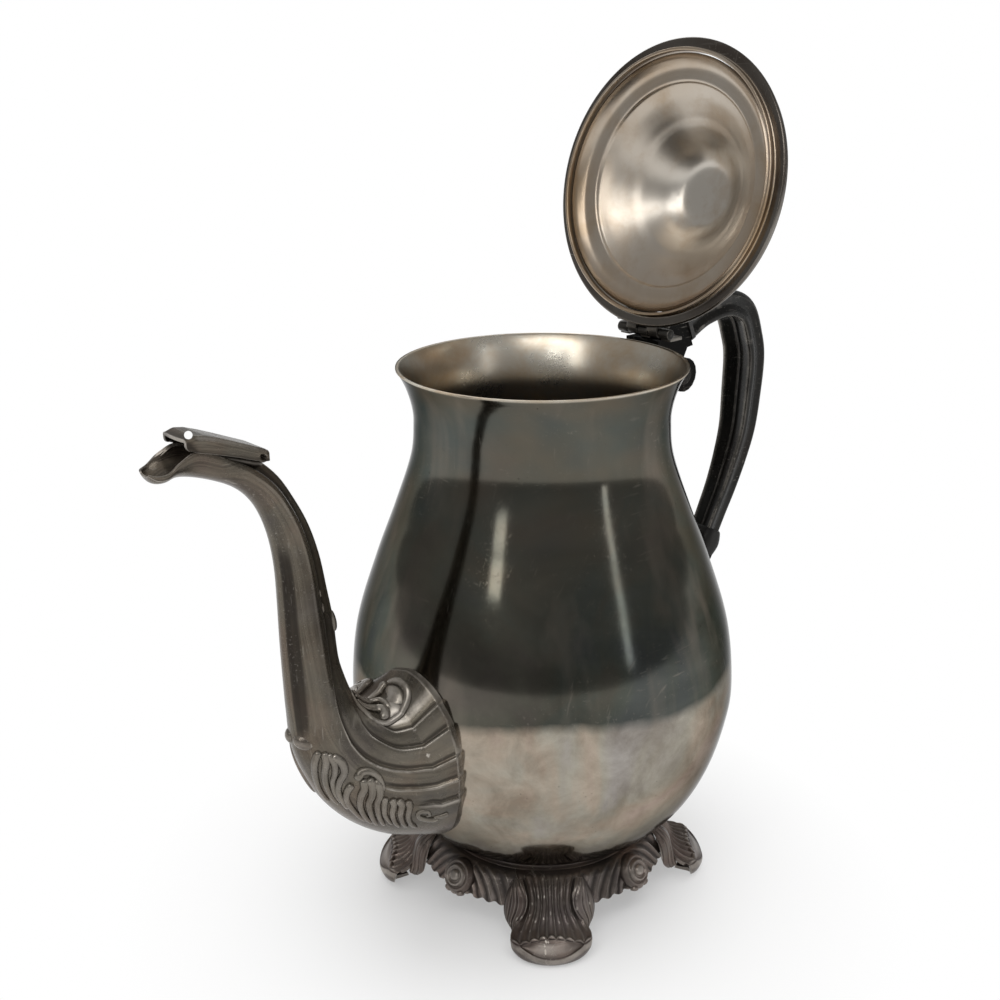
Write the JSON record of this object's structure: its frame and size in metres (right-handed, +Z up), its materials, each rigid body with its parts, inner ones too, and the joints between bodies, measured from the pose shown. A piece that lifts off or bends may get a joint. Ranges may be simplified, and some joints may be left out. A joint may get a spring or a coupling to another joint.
{
  "type": "footed teapot",
  "caption": "Tall silver-plated teapot with a swan-neck spout, C-shaped handle, domed hinged lid standing open, and leaf-cast feet on a scalloped skirt.",
  "frame": {"origin": "middle of the whole outline with the lid open, on the plane that the four feet stand on", "axes": "+Z up, +X towards the handle, -X towards the spout, +Y to the left of someone who looks from the handle to the spout's far side; the spout, handle and lid hinge share the XZ plane"},
  "size_m": [0.271, 0.1416, 0.3114],
  "materials": {
    "body_plate": "polished silver plate over brass, tarnished dark, with stains, fine scratches and pitting",
    "lid_plate": "satin spun silver plate inside, dark tarnish on the rim and outside",
    "spout_casting": "cast and silver plated, brown tarnish with pale rubbed ridges",
    "foot_casting": "cast and silver plated, dark brown tarnish in the hollows, bright rubbed edges",
    "handle_casting": "cast and silver plated, near-black tarnish with rubbed ribs",
    "hinge_metal": "plated hinge with bright worn knuckles and dark joints",
    "insulator": "dark heat-insulating washer, satin"
  },
  "bodies": {
    "pot": {"vessel": "body_plate", "bottom_disc": "body_plate", "foot_collar": "foot_casting", "foot_handle_left": "foot_casting", "skirt_left": "foot_casting", "foot_spout_left": "foot_casting", "skirt_spout": "foot_casting", "foot_spout_right": "foot_casting", "skirt_right": "foot_casting", "foot_handle_right": "foot_casting", "skirt_handle": "foot_casting", "spout_half_left": "spout_casting", "spout_half_right": "spout_casting", "spout_hood": "spout_casting", "handle_grip": "handle_casting", "upper_insulator": "insulator", "lower_insulator": "insulator", "upper_handle_socket": "handle_casting", "lower_handle_socket": "handle_casting", "upper_handle_pin": "handle_casting", "lower_handle_pin": "handle_casting", "hinge_body_leaf": "hinge_metal", "hinge_pin": "hinge_metal"},
    "lid": {"lid_shell": "lid_plate", "lid_rim": "lid_plate", "hinge_lid_leaf": "hinge_metal", "finial_base": "lid_plate", "finial_knob": "lid_plate"}
  },
  "joints": [
    {"name": "lid_hinge", "type": "hinge", "parent": "pot", "child": "lid", "pos_m": [0.06906, 0, 0.2083], "axis": [0, -1, 0], "range_deg": [0, 102.8]}
  ]
}
